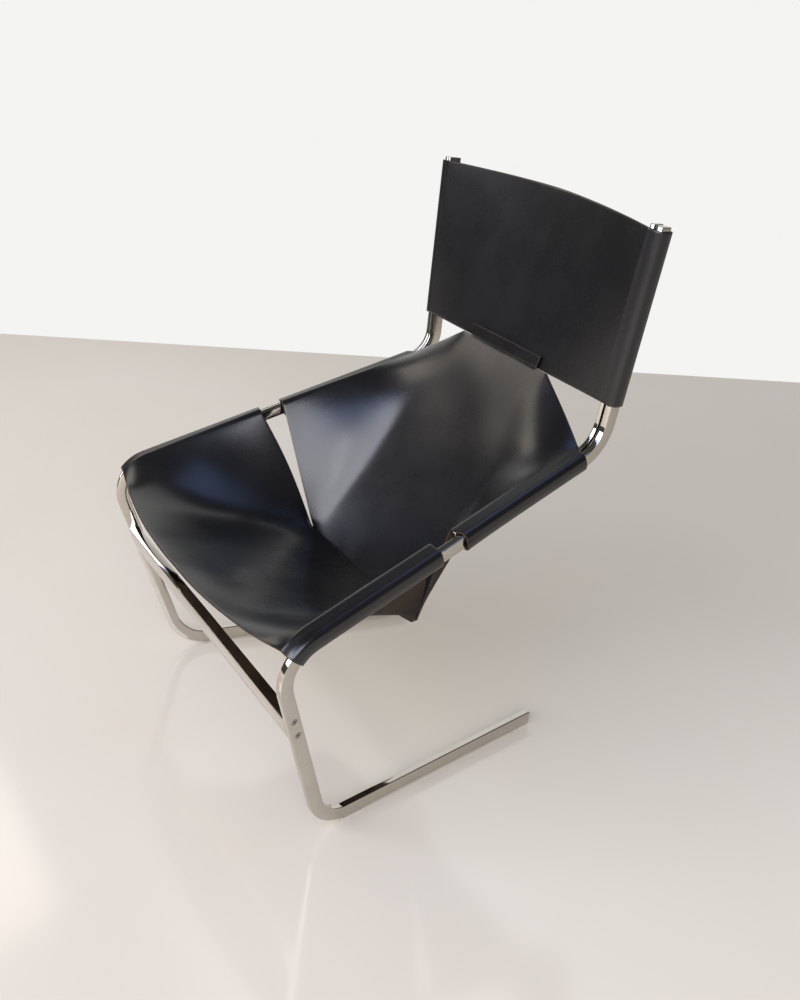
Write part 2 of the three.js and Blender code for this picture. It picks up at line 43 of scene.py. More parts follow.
def hexColour(text):
    # sRGB hex to linear values
    channels = [int(text[i:i + 2], 16) / 255 for i in (1, 3, 5)]
    linear = [c / 12.92 if c <= 0.04045 else ((c + 0.055) / 1.055) ** 2.4 for c in channels]
    return (*linear, 1.0)


def deselectAll():
    if bpy.context.object and bpy.context.object.mode != "OBJECT":
        bpy.ops.object.mode_set(mode="OBJECT")
    bpy.ops.object.select_all(action="DESELECT")


def useOnly(piece):
    deselectAll()
    piece.select_set(True)
    bpy.context.view_layer.objects.active = piece


def applyModifier(piece, kind, **settings):
    useOnly(piece)
    modifier = piece.modifiers.new(kind.title(), kind)
    for key, value in settings.items():
        setattr(modifier, key, value)
    bpy.ops.object.modifier_apply(modifier=modifier.name)


def namePiece(piece, name):
    piece.name = name
    piece.data.name = name


def smoothPiece(piece, angle=35):
    useOnly(piece)
    bpy.ops.object.shade_smooth_by_angle(angle=math.radians(angle))


def placePiece(piece, nodes):
    # all of the chair stands still, on one body
    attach(piece, "root")
    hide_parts(*nodes)


# Side frame path, drawn in the frame's own plane; lengths run from corner to corner
barSizes = {
    "width": 24.5 * mm,
    "thickness": 13 * mm,
    "edgeRadius": 1.6 * mm,
    "bend": 70 * mm,
    "lengths": [498 * mm, 395 * mm, 699 * mm, 395 * mm],
    "headings": [180, 106, 15.5, 82.5],
    "toeIn": 11.1,
    "lean": 6.9,
    "corner": Vector((339.5, -266.38, 0)) * mm,
    "pad": 4 * mm,
    "bendSteps": 28,
}
clampSizes = {"thickness": 8.5 * mm, "gap": 0.3 * mm, "edgeRadius": 1.3 * mm}
leatherSizes = {"thickness": 3.5 * mm, "edgeRound": 0.7 * mm}

halfBar = barSizes["width"] / 2
slotWidth = leatherSizes["thickness"] + 2 * clampSizes["gap"]
hemRadius = leatherSizes["thickness"] / 2 + clampSizes["gap"]
edgeRadius = hemRadius + clampSizes["gap"]
clampOuter = -barSizes["thickness"] - slotWidth
clampInner = clampOuter - clampSizes["thickness"]


def makeCentreLine():
    headings = [math.radians(h) for h in barSizes["headings"]]
    bend = barSizes["bend"]
    pieces = []
    point = Vector((barSizes["lengths"][0], barSizes["pad"] + halfBar))
    start = 0.0
    before = 0.0
    for i, heading in enumerate(headings):
        turn = headings[i + 1] - heading if i + 1 < len(headings) else 0.0
        tangent = bend * math.tan(abs(turn) / 2)
        length = barSizes["lengths"][i] - before - tangent
        pieces.append({"start": start, "length": length, "point": point.copy(),
                       "heading": heading, "turn": 0.0, "corner": start - before})
        point = alongPiece(pieces[-1], length)[0]
        start += length
        if turn:
            pieces.append({"start": start, "length": abs(turn) * bend, "point": point.copy(),
                           "heading": heading, "turn": turn, "corner": None})
            point = alongPiece(pieces[-1], pieces[-1]["length"])[0]
            start += pieces[-1]["length"]
        before = tangent
    return pieces


def alongPiece(piece, distance):
    heading = piece["heading"] + piece["turn"] * distance / piece["length"]
    normal = Vector((-math.sin(heading), math.cos(heading)))
    point = piece["point"].copy()
    if piece["turn"]:
        reach = math.copysign(barSizes["bend"], piece["turn"])
        first = Vector((-math.sin(piece["heading"]), math.cos(piece["heading"])))
        point += first * reach - normal * reach
    else:
        point += Vector((normal.y, -normal.x)) * distance
    return point, normal


# runner, bend, leg, bend, seat rail, bend and back post
centreLine = makeCentreLine()
_, _, legRun, frontBend, railRun, rearBend, postRun = centreLine
barEnd = postRun["start"] + postRun["length"]


def onRail(place):
    return railRun["corner"] + place * mm


def onPost(place):
    return postRun["corner"] + place * mm


def onLeg(place):
    return legRun["corner"] + place * mm


def atDistance(distance):
    piece = [p for p in centreLine if p["start"] <= distance + 1e-9][-1]
    return alongPiece(piece, distance - piece["start"])


def sideAxes(side):
    toe = math.radians(barSizes["toeIn"])
    lean = math.radians(barSizes["lean"])
    outward = Vector((side * math.cos(toe), math.sin(toe), 0))
    along = Vector((-side * math.sin(toe), math.cos(toe), 0))
    upward = Vector((0, 0, math.cos(lean))) + outward * math.sin(lean)
    face = outward * math.cos(lean) - Vector((0, 0, math.sin(lean)))
    origin = barSizes["corner"].copy()
    origin.x *= side
    return along, upward, face, origin


axesOf = {1: sideAxes(1), -1: sideAxes(-1)}


def onSide(side, distance, out, across):
    along, upward, face, origin = axesOf[side]
    point, normal = atDistance(distance)
    return (origin + along * (point.x + normal.x * across)
            + upward * (point.y + normal.y * across) + face * out)


def sideMatrix(side):
    along, upward, face, origin = axesOf[side]
    matrix = Matrix((along, upward, face * side)).transposed().to_4x4()
    matrix.translation = origin
    return matrix


def newMaterial(name):
    material = bpy.data.materials.new(name)
    material.use_nodes = True
    material.node_tree.nodes.clear()
    return material


def addNode(material, kind, settings=None, inputs=None):
    # inputs maps a socket to a value, or to (node, output) for a link
    tree = material.node_tree
    node = tree.nodes.new(kind)
    for key, value in (settings or {}).items():
        setattr(node, key, value)
    for socket, value in (inputs or {}).items():
        if isinstance(value, tuple) and isinstance(value[0], bpy.types.Node):
            tree.links.new(value[0].outputs[value[1]], node.inputs[socket])
        else:
            node.inputs[socket].default_value = value
    return node


def setRamp(ramp, start, startColour, end, endColour):
    first, last = ramp.color_ramp.elements
    first.position, first.color = start, hexColour(startColour)
    last.position, last.color = end, hexColour(endColour)


# Chrome plate on polished steel: a mirror with a slight haze and faint streaks from wiping
chromeLook = {
    "colour": "#ccc7c0", "tarnish": "#c2bbaf", "roughness": (0.02, 0.08),
    "hazeMm": 60, "streakMm": 1.6, "streakDepthMm": 0.002,
}


def makeChrome():
    m = newMaterial("chromePlate")
    place = addNode(m, "ShaderNodeTexCoord")
    haze = addNode(m, "ShaderNodeTexNoise", None,
                   {"Vector": (place, "Object"), "Scale": 1000 / chromeLook["hazeMm"], "Detail": 5.0,
                    "Roughness": 0.6})
    streaks = addNode(m, "ShaderNodeTexNoise", None,
                      {"Vector": (place, "Object"), "Scale": 1000 / chromeLook["streakMm"],
                       "Detail": 3.0})
    low, high = chromeLook["roughness"]
    rough = addNode(m, "ShaderNodeMapRange", None,
                    {"Value": (haze, "Fac"), "From Min": 0.35, "From Max": 0.75,
                     "To Min": low, "To Max": high})
    tone = addNode(m, "ShaderNodeValToRGB", None, {"Fac": (haze, "Fac")})
    setRamp(tone, 0.35, chromeLook["colour"], 0.85, chromeLook["tarnish"])
    bump = addNode(m, "ShaderNodeBump", None,
                   {"Height": (streaks, "Fac"), "Strength": 0.25,
                    "Distance": chromeLook["streakDepthMm"] * mm})
    shader = addNode(m, "ShaderNodeBsdfPrincipled", None,
                     {"Base Color": (tone, "Color"), "Metallic": 1.0, "Roughness": (rough, "Result"),
                      "Normal": (bump, "Normal")})
    addNode(m, "ShaderNodeOutputMaterial", None, {"Surface": (shader, "BSDF")})
    return m


# Bright zinc-plated steel screws, turned and then tumbled: duller than the chrome beside them
screwLook = {
    "name": "zincPlatedSteel", "grainMm": 0.9, "detail": 4.0,
    "tones": (0.3, "#3b3733", 0.5, "#a9a59e"), "relief": 0.3, "reliefMm": 0.02,
    "shader": {"Metallic": 1.0, "Roughness": 0.28},
}
# Blackened brass rivets, rubbed bright in places
rivetLook = {
    "name": "blackenedBrass", "grainMm": 2.5, "detail": 4.0,
    "tones": (0.5, "#2c2a29", 0.75, "#6d6252"), "relief": None,
    "shader": {"Metallic": 0.9, "Roughness": 0.38},
}
# Clear PVC floor pads, cut from sheet and scuffed dull
padLook = {
    "name": "clearPvc", "grainMm": 4, "detail": 5.0,
    "tones": (0.4, "#d8d4c8", 0.7, "#b5ae9f"), "relief": 0.3, "reliefMm": 0.05,
    "shader": {"Roughness": 0.42, "IOR": 1.53, "Transmission Weight": 0.35},
}
# Cut edges of the hide, burnished by hand: a brown core shows here and there
cutEdgeLook = {
    "name": "burnishedCutEdge", "grainMm": 9, "detail": 5.0,
    "tones": (0.35, "#151110", 0.6, "#38271b"), "relief": None,
    "shader": {"Roughness": 0.6},
}


def makeSpeckled(look):
    # one fine grain sets the tone and, where there is any, the relief
    m = newMaterial(look["name"])
    place = addNode(m, "ShaderNodeTexCoord")
    grain = addNode(m, "ShaderNodeTexNoise", None,
                    {"Vector": (place, "Object"), "Scale": 1000 / look["grainMm"],
                     "Detail": look["detail"]})
    tone = addNode(m, "ShaderNodeValToRGB", None, {"Fac": (grain, "Fac")})
    setRamp(tone, *look["tones"])
    shader = addNode(m, "ShaderNodeBsdfPrincipled", None,
                     {"Base Color": (tone, "Color"), **look["shader"]})
    if look["relief"]:
        bump = addNode(m, "ShaderNodeBump", None,
                       {"Height": (grain, "Fac"), "Strength": look["relief"],
                        "Distance": look["reliefMm"] * mm})
        m.node_tree.links.new(bump.outputs["Normal"], shader.inputs["Normal"])
    addNode(m, "ShaderNodeOutputMaterial", None, {"Surface": (shader, "BSDF")})
    return m


# Vegetable-tanned saddle leather, dyed black through the grain and waxed: a satin skin, a little
# paler where it is rubbed, with faint stretch creases in patches and brown wear along its edges.
# Its pores are too fine to see and only soften the shine.
leatherLook = {
    "colour": "#0e0d0e", "rubbed": "#131213", "edgeWear": "#241c18", "roughness": (0.25, 0.31),
    "cloudMm": 90, "poreMm": 1.1, "poreDepthMm": 0.03,
    "creaseMm": 104, "creaseStretch": 14.0, "creaseTurn": 38, "creaseDepthMm": 0.2,
    "wearMm": (0.4, 3.0),
}


def makeGrainLeather():
    m = newMaterial("waxedSaddleLeather")
    place = addNode(m, "ShaderNodeTexCoord")
    edge = addNode(m, "ShaderNodeAttribute", {"attribute_name": "edgeMm"})
    clouds = addNode(m, "ShaderNodeTexNoise", None,
                     {"Vector": (place, "Object"), "Scale": 1000 / leatherLook["cloudMm"],
                      "Detail": 6.0, "Roughness": 0.62})
    pores = addNode(m, "ShaderNodeTexVoronoi", {"feature": "DISTANCE_TO_EDGE"},
                    {"Vector": (place, "Object"), "Scale": 1000 / leatherLook["poreMm"]})
    stretch = addNode(m, "ShaderNodeMapping", None,
                      {"Vector": (place, "UV"),
                       "Rotation": (0, 0, math.radians(leatherLook["creaseTurn"])),
                       "Scale": (1.0, leatherLook["creaseStretch"], 1.0)})
    creases = addNode(m, "ShaderNodeTexNoise", None,
                      {"Vector": (stretch, "Vector"), "Scale": 1000 / leatherLook["creaseMm"],
                       "Detail": 4.0, "Roughness": 0.5})
    low, high = leatherLook["roughness"]
    rough = addNode(m, "ShaderNodeMapRange", None,
                    {"Value": (clouds, "Fac"), "From Min": 0.3, "From Max": 0.75,
                     "To Min": low, "To Max": high})
    tone = addNode(m, "ShaderNodeValToRGB", None, {"Fac": (clouds, "Fac")})
    setRamp(tone, 0.35, leatherLook["colour"], 0.8, leatherLook["rubbed"])
    near, far = leatherLook["wearMm"]
    edgeWear = addNode(m, "ShaderNodeMapRange", None,
                       {"Value": (edge, "Fac"), "From Min": near, "From Max": far,
                        "To Min": 0.8, "To Max": 0.0})
    worn = addNode(m, "ShaderNodeMix", {"data_type": "RGBA"},
                   {"Factor": (edgeWear, "Result"), "A": (tone, "Color"),
                    "B": hexColour(leatherLook["edgeWear"])})
    patches = addNode(m, "ShaderNodeMapRange", None,
                      {"Value": (clouds, "Fac"), "From Min": 0.42, "From Max": 0.62})
    folds = addNode(m, "ShaderNodeMath", {"operation": "MULTIPLY"},
                    {0: (creases, "Fac"), 1: (patches, "Result")})
    creaseBump = addNode(m, "ShaderNodeBump", None,
                         {"Height": (folds, "Value"), "Strength": 0.1,
                          "Distance": leatherLook["creaseDepthMm"] * mm})
    poreBump = addNode(m, "ShaderNodeBump", None,
                       {"Height": (pores, "Distance"), "Strength": 0.12,
                        "Distance": leatherLook["poreDepthMm"] * mm,
                        "Normal": (creaseBump, "Normal")})
    shader = addNode(m, "ShaderNodeBsdfPrincipled", None,
                     {"Base Color": (worn, "Result"), "Roughness": (rough, "Result"),
                      "Specular IOR Level": 0.66, "Normal": (poreBump, "Normal")})
    addNode(m, "ShaderNodeOutputMaterial", None, {"Surface": (shader, "BSDF")})
    return m


# The flesh side of the same hide: undyed fibre, brown, dry and matt, darker where dye came through
fleshLook = {"colour": "#3f3229", "dyed": "#251f1c", "fibreMm": 2.2, "fibreDepthMm": 0.25, "cloudMm": 70}


def makeFleshLeather():
    m = newMaterial("rawFleshSide")
    place = addNode(m, "ShaderNodeTexCoord")
    clouds = addNode(m, "ShaderNodeTexNoise", None,
                     {"Vector": (place, "Object"), "Scale": 1000 / fleshLook["cloudMm"], "Detail": 6.0})
    fibre = addNode(m, "ShaderNodeTexNoise", None,
                    {"Vector": (place, "Object"), "Scale": 1000 / fleshLook["fibreMm"], "Detail": 6.0,
                     "Distortion": 0.8})
    tone = addNode(m, "ShaderNodeValToRGB", None, {"Fac": (clouds, "Fac")})
    setRamp(tone, 0.35, fleshLook["dyed"], 0.65, fleshLook["colour"])
    bump = addNode(m, "ShaderNodeBump", None,
                   {"Height": (fibre, "Fac"), "Strength": 0.6,
                    "Distance": fleshLook["fibreDepthMm"] * mm})
    shader = addNode(m, "ShaderNodeBsdfPrincipled", None,
                     {"Base Color": (tone, "Color"), "Roughness": 0.85, "Specular IOR Level": 0.25,
                      "Normal": (bump, "Normal")})
    addNode(m, "ShaderNodeOutputMaterial", None, {"Surface": (shader, "BSDF")})
    return m


chrome = makeChrome()
screwSteel = makeSpeckled(screwLook)
rivetBrass = makeSpeckled(rivetLook)
padPlastic = makeSpeckled(padLook)
cutEdge = makeSpeckled(cutEdgeLook)
grainLeather = makeGrainLeather()
fleshLeather = makeFleshLeather()
print("materials made")


# Flat bars, drawn in the frame's plane: the end of a cut length is pushed along and spun round
def drawBarSection(mark, low, high):
    bpy.ops.mesh.primitive_plane_add(size=1)
    piece = bpy.context.object
    point, normal = atDistance(mark)
    corners = [(-halfBar, low), (halfBar, low), (-halfBar, high), (halfBar, high)]
    for vertex, (across, depth) in zip(piece.data.vertices, corners):
        vertex.co = (point.x + normal.x * across, point.y + normal.y * across, depth)
    return piece


def sweepBar(name, marks, low, high, edge):
    deselectAll()
    piece = drawBarSection(marks[0], low, high)
    bpy.ops.object.mode_set(mode="EDIT")
    bpy.ops.mesh.select_mode(type="EDGE")
    bpy.ops.mesh.select_all(action="SELECT")
    bpy.ops.mesh.delete(type="ONLY_FACE")
    bpy.ops.mesh.select_all(action="SELECT")
    for part in centreLine:
        begin = max(marks[0], part["start"])
        end = min(marks[1], part["start"] + part["length"])
        if end - begin < 1e-6:
            continue
        here, normal = alongPiece(part, begin - part["start"])
        there, _ = alongPiece(part, end - part["start"])
        if part["turn"]:
            sign = math.copysign(1, part["turn"])
            centre = here + normal * barSizes["bend"] * sign
            share = (end - begin) / part["length"]
            bpy.ops.mesh.spin(steps=max(3, round(barSizes["bendSteps"] * share)), dupli=False,
                              angle=-part["turn"] * share, center=(centre.x, centre.y, 0),
                              axis=(0, 0, 1))
        else:
            bpy.ops.mesh.extrude_region_move(
                TRANSFORM_OT_translate={"value": (there.x - here.x, there.y - here.y, 0)})
    bpy.ops.mesh.select_all(action="DESELECT")
    bpy.ops.mesh.select_non_manifold()
    bpy.ops.mesh.edge_face_add()
    bpy.ops.mesh.select_all(action="SELECT")
    bpy.ops.mesh.fill_holes(sides=4)
    bpy.ops.mesh.normals_make_consistent(inside=False)
    bpy.ops.object.mode_set(mode="OBJECT")
    namePiece(piece, name)
    applyModifier(piece, "BEVEL", width=edge, segments=3, limit_method="ANGLE",
                  angle_limit=math.radians(40))
    return piece


def makeBar(name, side, marks, outer, inner, edge, nodes):
    low, high = (inner, outer) if side > 0 else (-outer, -inner)
    piece = sweepBar(name, marks, low, high, edge)
    piece.data.transform(sideMatrix(side))
    piece.data.materials.append(chrome)
    smoothPiece(piece)
    placePiece(piece, nodes)
    return piece


def cutWith(piece, cutters):
    for cutter in cutters:
        applyModifier(piece, "BOOLEAN", operation="DIFFERENCE", solver="EXACT", object=cutter)
    for cutter in cutters:
        bpy.data.objects.remove(cutter)


def fastenerMatrix(side, mark, out, facing):
    along, _, face, _ = axesOf[side]
    axis = face * facing
    across = axis.cross(along)
    matrix = Matrix((along, across, axis)).transposed().to_4x4()
    matrix.translation = onSide(side, mark, out, 0)
    return matrix


# Countersunk socket screws: a cone-backed head, flush with the bar, and a hexagonal recess
screwShapes = {
    "crossbar": {"head": 6 * mm, "headHeight": 3.3 * mm, "shank": 3 * mm, "length": 34 * mm,
                 "socket": 2.4 * mm, "socketDepth": 2.4 * mm, "rim": 0.35 * mm},
    "clamp": {"head": 4.6 * mm, "headHeight": 2.6 * mm, "shank": 2.4 * mm, "length": 20.5 * mm,
              "socket": 1.8 * mm, "socketDepth": 1.8 * mm, "rim": 0.25 * mm},
}
screwFit = {"sides": 40, "rimTurn": (0.3, 0.2), "socketEdge": 0.12 * mm, "gap": 0.15 * mm, "above": 1 * mm}
crossbarSizes = {"height": 45 * mm, "depth": 19 * mm, "edge": 1.2 * mm, "place": 250.5, "pitch": 32}
crossbarMarks = [onLeg(crossbarSizes["place"] + crossbarSizes["pitch"] * step) for step in (-0.5, 0.5)]

# Where hems and clamp bars start and end: places in mm past a corner, a share of the front bend
# for the hem that rounds it, and lengths
spanSizes = {
    "roundBend": 0.4, "frontEnd": 319, "rearStart": 365, "rearShort": 0.7 * mm,
    "backStart": 83, "backShort": 7 * mm, "clampStart": 76, "clampShort": 6 * mm, "screwInset": 30 * mm,
}
hemSpans = {
    "front": (railRun["start"] - frontBend["length"] * spanSizes["roundBend"],
              onRail(spanSizes["frontEnd"])),
    "rear": (onRail(spanSizes["rearStart"]), rearBend["start"] - spanSizes["rearShort"]),
    "back": (onPost(spanSizes["backStart"]), barEnd - spanSizes["backShort"]),
}
clampSpans = {
    "seat": (onRail(spanSizes["clampStart"]), hemSpans["front"][1] - spanSizes["clampShort"]),
    "back": (hemSpans["rear"][0] + spanSizes["clampShort"], barEnd),
}


def threeMarks(first, last):
    inset = spanSizes["screwInset"]
    return [first + inset, (first + last) / 2, last - inset]


clampMarks = {
    "seat": threeMarks(*clampSpans["seat"]),
    "back": threeMarks(clampSpans["back"][0], hemSpans["rear"][1]) + threeMarks(*hemSpans["back"]),
}


def turnRings(profile, sides):
    # a circle is extruded ring by ring, and each ring is set to its radius and height
    deselectAll()
    bpy.ops.mesh.primitive_circle_add(vertices=sides, radius=1, fill_type="NOTHING")
    piece = bpy.context.object
    radius, start = profile[0]
    for i, vertex in enumerate(piece.data.vertices):
        angle = 2 * math.pi * i / sides
        vertex.co = (radius * math.cos(angle), radius * math.sin(angle), start)
    for radius, height in profile[1:]:
        bpy.ops.object.mode_set(mode="EDIT")
        bpy.ops.mesh.extrude_region_move(TRANSFORM_OT_translate={"value": (0, 0, height - start)})
        bpy.ops.object.mode_set(mode="OBJECT")
        for vertex in piece.data.vertices:
            if vertex.select:
                angle = math.atan2(vertex.co.y, vertex.co.x)
                vertex.co = (radius * math.cos(angle), radius * math.sin(angle), height)
    bpy.ops.object.mode_set(mode="EDIT")
    bpy.ops.mesh.select_all(action="SELECT")
    bpy.ops.mesh.fill_holes(sides=0)
    bpy.ops.mesh.normals_make_consistent(inside=False)
    bpy.ops.object.mode_set(mode="OBJECT")
    return piece


def makeScrewMaster(shape):
    head, rim = shape["head"], shape["rim"]
    inward, down = screwFit["rimTurn"]
    piece = turnRings([(shape["shank"], -shape["length"]), (shape["shank"], -shape["headHeight"]),
                       (head, -rim), (head - rim * inward, -rim * down), (head - rim, 0)],
                      screwFit["sides"])
    bpy.ops.mesh.primitive_cylinder_add(vertices=6, radius=shape["socket"],
                                        depth=2 * shape["socketDepth"])
    cutWith(piece, [bpy.context.object])
    applyModifier(piece, "BEVEL", width=screwFit["socketEdge"], segments=2, limit_method="ANGLE",
                  angle_limit=math.radians(50))
    return piece


def copyPiece(master, name, matrix, material):
    piece = bpy.data.objects.new(name, master.data.copy())
    bpy.context.collection.objects.link(piece)
    piece.data.transform(matrix)
    namePiece(piece, name + "_seen")
    piece.data.materials.clear()
    piece.data.materials.append(material)
    smoothPiece(piece, 30)
    placePiece(piece, [name])


def countersinkCutter(shape, matrix):
    gap = screwFit["gap"]
    cutter = turnRings([(shape["shank"] + gap, -shape["length"] - gap),
                        (shape["shank"] + gap, -shape["headHeight"] - gap),
                        (shape["head"] + gap, -gap), (shape["head"] + gap, screwFit["above"])],
                       screwFit["sides"])
    cutter.data.transform(matrix)
    return cutter


screwMasters = {kind: makeScrewMaster(shape) for kind, shape in screwShapes.items()}
for side, word in ((1, "left"), (-1, "right")):
    bar = makeBar(f"{word}FlatBarFrame", side, (0, barEnd), 0, -barSizes["thickness"],
                  barSizes["edgeRadius"], [f"{word}_side_frame"])
    cutWith(bar, [countersinkCutter(screwShapes["crossbar"], fastenerMatrix(side, mark, 0, 1))
                  for mark in crossbarMarks])
    smoothPiece(bar)
    for part, span in clampSpans.items():
        bar = makeBar(f"{word}{part.title()}ClampBar", side, span, clampOuter, clampInner,
                      clampSizes["edgeRadius"], [f"{word}_{part}_clamp_bar"])
        places = [fastenerMatrix(side, mark, clampInner, -1) for mark in clampMarks[part]]
        cutWith(bar, [countersinkCutter(screwShapes["clamp"], place) for place in places])
        smoothPiece(bar)
        for i, place in enumerate(places):
            copyPiece(screwMasters["clamp"], f"{word}_{part}_clamp_screw_{i + 1}", place,
                      screwSteel)
    for i, mark in enumerate(crossbarMarks):
        copyPiece(screwMasters["crossbar"], f"{word}_crossbar_screw_{i + 1}",
                  fastenerMatrix(side, mark, 0, 1), screwSteel)
for master in screwMasters.values():
    bpy.data.objects.remove(master)
print("bars and screws made")


def makeCrossbar():
    # a flat bar on edge, mitred to the inner faces of both frames
    thick = barSizes["thickness"]
    _, _, face, origin = axesOf[1]
    middle = onSide(1, onLeg(crossbarSizes["place"]), -thick, 0)
    above = onSide(1, onLeg(crossbarSizes["place"] + 1), -thick, 0)
    rise = Vector((0, above.y - middle.y, above.z - middle.z)).normalized()
    back = Vector((0, rise.z, -rise.y))
    deselectAll()
    bpy.ops.mesh.primitive_cube_add(size=2)
    piece = bpy.context.object
    for vertex in piece.data.vertices:
        side, depth, height = vertex.co
        reach = (depth + 1) / 2 * crossbarSizes["depth"] - halfBar
        point = middle + back * reach + rise * height * crossbarSizes["height"] / 2
        inset = -thick - clampSizes["gap"] - face.y * (point.y - origin.y) - face.z * point.z
        vertex.co = (math.copysign(origin.x + inset / face.x, side), point.y, point.z)
    applyModifier(piece, "BEVEL", width=crossbarSizes["edge"], segments=3, limit_method="ANGLE")
    cutWith(piece, [countersinkCutter(screwShapes["crossbar"], fastenerMatrix(side, mark, 0, 1))
                    for side in (1, -1) for mark in crossbarMarks])
    namePiece(piece, "frontCrossbar")
    piece.data.materials.append(chrome)
    smoothPiece(piece)
    placePiece(piece, ["front_crossbar"])


makeCrossbar()
for name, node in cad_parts.items():
    if name.endswith("floor_pad"):
        node.data.materials.clear()
        node.data.materials.append(padPlastic)
print("crossbar and floor pads made")


# Leather: each panel is one cut sheet, hemmed round both bars. Shares run along half a panel's
# width, and powers say how sharply a curve or a shift fades.
seatShape = {
    "cornerShare": 0.625, "pullPower": 6,
    "edgeBulge": 41 * mm, "edgeSag": 12 * mm, "bulgePower": 2.2, "sagPower": 2.8,
    "slitPlace": 342, "slitTip": Vector((-120.2, 30.2, -223)) * mm,
    "seamBow": 13 * mm, "seamSag": 18 * mm, "slitBulge": 8 * mm,
    "keelDepth": (7 * mm, 30 * mm), "keelPower": 1.3, "keelSlant": 0.05,
    "tongueCorner": Vector((-145.8, -4.8, 2.8)) * mm, "tongueBulge": 2 * mm,
    "backBow": 48 * mm, "backBowPower": 1.6, "lapHalf": 110 * mm, "lapHeight": 23 * mm,
    "stripStart": 1 * mm, "stripThickness": 2 * mm,
}
# Hems hug the bar and round over its outer edges. Where the leather turns down, it leaves towards
# the panel's own point at the share "aim".
hemShape = {
    "corner": 10 * mm, "slack": 1.9 * mm, "bulge": 0.8 * mm, "flap": 8 * mm, "shoulder": 12 * mm,
    "flare": 2.5 * mm, "flarePower": 5, "skew": 14 * mm, "skewPower": 6, "turnSteps": 6, "flatSteps": 8,
    "aim": 0.9, "dropRange": (8, 75),
    "slitPower": 8, "frontSlit": (5 * mm, 5 * mm), "rearSlit": (11 * mm, 5 * mm),
}
meshShape = {
    "across": 96, "innerShare": 0.6, "rowStep": 4 * mm, "flangeRows": 5, "lapRows": 5,
    "stripRows": 8, "stripHalf": 40, "wearBlock": 2000,
}


def arcPoints(centre, first, radius, count):
    return [(centre[0] + radius * math.cos(first + math.pi / 2 * i / count),
             centre[1] + radius * math.sin(first + math.pi / 2 * i / count)) for i in range(count + 1)]


def between(a, b, bulge=0.0, eased=False):
    steps = hemShape["flatSteps"]
    points = []
    for i in range(1, steps):
        t = i / steps
        rise = t * t * (3 - 2 * t) if eased else t
        points.append((a[0] + (b[0] - a[0]) * t + bulge * math.sin(math.pi * t),
                       a[1] + (b[1] - a[1]) * rise))
    return points


def shoulderArc(drop):
    # the turn over the clamp bar's inner edge, which it only just touches
    reach = hemShape["shoulder"] - edgeRadius
    x, y = clampInner + reach * math.sin(drop / 2), halfBar - reach * math.cos(drop / 2)
    radius, steps = hemShape["shoulder"], hemShape["turnSteps"]
    angles = [drop * i / steps for i in range(steps + 1)]
    return [(x - radius * math.sin(a), y + radius * math.cos(a)) for a in angles]


def hemSection(flare, drop):
    # out of the slot, under the bar, up its outer face, over its top and down from the shoulder
    steps, big = hemShape["turnSteps"], hemShape["corner"]
    inset = big - hemRadius - hemShape["slack"]
    slotEnd = (-barSizes["thickness"] - hemRadius, hemShape["flap"])
    inner = arcPoints((-barSizes["thickness"], -halfBar), math.pi, hemRadius, steps)
    lower = arcPoints((flare - inset, inset - halfBar), -math.pi / 2, big, steps)
    upper = arcPoints((-inset, halfBar - inset), 0, big, steps)
    shoulder = shoulderArc(drop)
    under = ([slotEnd] + between(slotEnd, inner[0]) + inner + between(inner[-1], lower[0]) + lower
             + between(lower[-1], upper[0], hemShape["bulge"]) + upper)
    top = between(upper[-1], shoulder[0], 0.0, True)
    points = [(*point, 0.0) for point in under]
    points += [(*point, (i + 1) / hemShape["flatSteps"]) for i, point in enumerate(top)]
    return points + [(*point, 1.0) for point in shoulder]


def leavingPoint(side, mark):
    return onSide(side, mark, clampInner, halfBar + edgeRadius)


def dropTowards(side, mark, target):
    along, upward, face, _ = axesOf[side]
    _, normal = atDistance(mark)
    away = target - leavingPoint(side, mark)
    across = along * normal.x + upward * normal.y
    drop = math.atan2(-away.dot(across), -away.dot(face))
    least, most = (math.radians(angle) for angle in hemShape["dropRange"])
    return min(max(drop, least), most)


# A line across a panel takes u from -1 at the right bar to 1 at the left one
def bowedLine(end, forward, sag, forwardPower, sagPower):
    def at(u):
        return Vector((end.x * u, end.y - forward * (1 - abs(u) ** forwardPower),
                       end.z - sag * (1 - abs(u) ** sagPower)))
    return at


def corneredLine(corner, end, bow, sag, bulge):
    cornerShare = seatShape["cornerShare"]

    def at(u):
        if abs(u) <= cornerShare:
            share = u / cornerShare
            hollow = 1 - share * share
            return Vector((corner.x * share, corner.y + bow * hollow, corner.z - sag * hollow))
        share = (abs(u) - cornerShare) / (1 - cornerShare)
        point = corner.lerp(end, share)
        point.y += bulge * math.sin(math.pi * share)
        point.x *= math.copysign(1, u)
        return point
    return at


def ruled(first, second):
    return lambda u, v: first(u).lerp(second(u), v)


slitTip = leavingPoint(1, onRail(seatShape["slitPlace"])) + seatShape["slitTip"]
backFoot = leavingPoint(1, hemSpans["back"][0])
backHead = leavingPoint(1, hemSpans["back"][1])
tongueCorner = backFoot + seatShape["tongueCorner"]
backHeight = hemSpans["back"][1] - hemSpans["back"][0]
seamOffset = Vector((0, slotWidth / 2, 0))


def backSurface():
    return ruled(corneredLine(tongueCorner, backFoot, 0, 0, 0),
                 bowedLine(backHead, -seatShape["backBow"], 0, seatShape["backBowPower"], 1))


onBack = backSurface()
backRise = onBack(seatShape["cornerShare"] / 2, 1) - onBack(seatShape["cornerShare"] / 2, 0)
backSlope = math.atan2(backRise.y, backRise.z)
backForward = Vector((0, -math.cos(backSlope), math.sin(backSlope)))
lapShare = seatShape["cornerShare"] * seatShape["lapHalf"] / tongueCorner.x
jointGrip = slotWidth / 2 + leatherSizes["thickness"] / 2 + clampSizes["gap"]


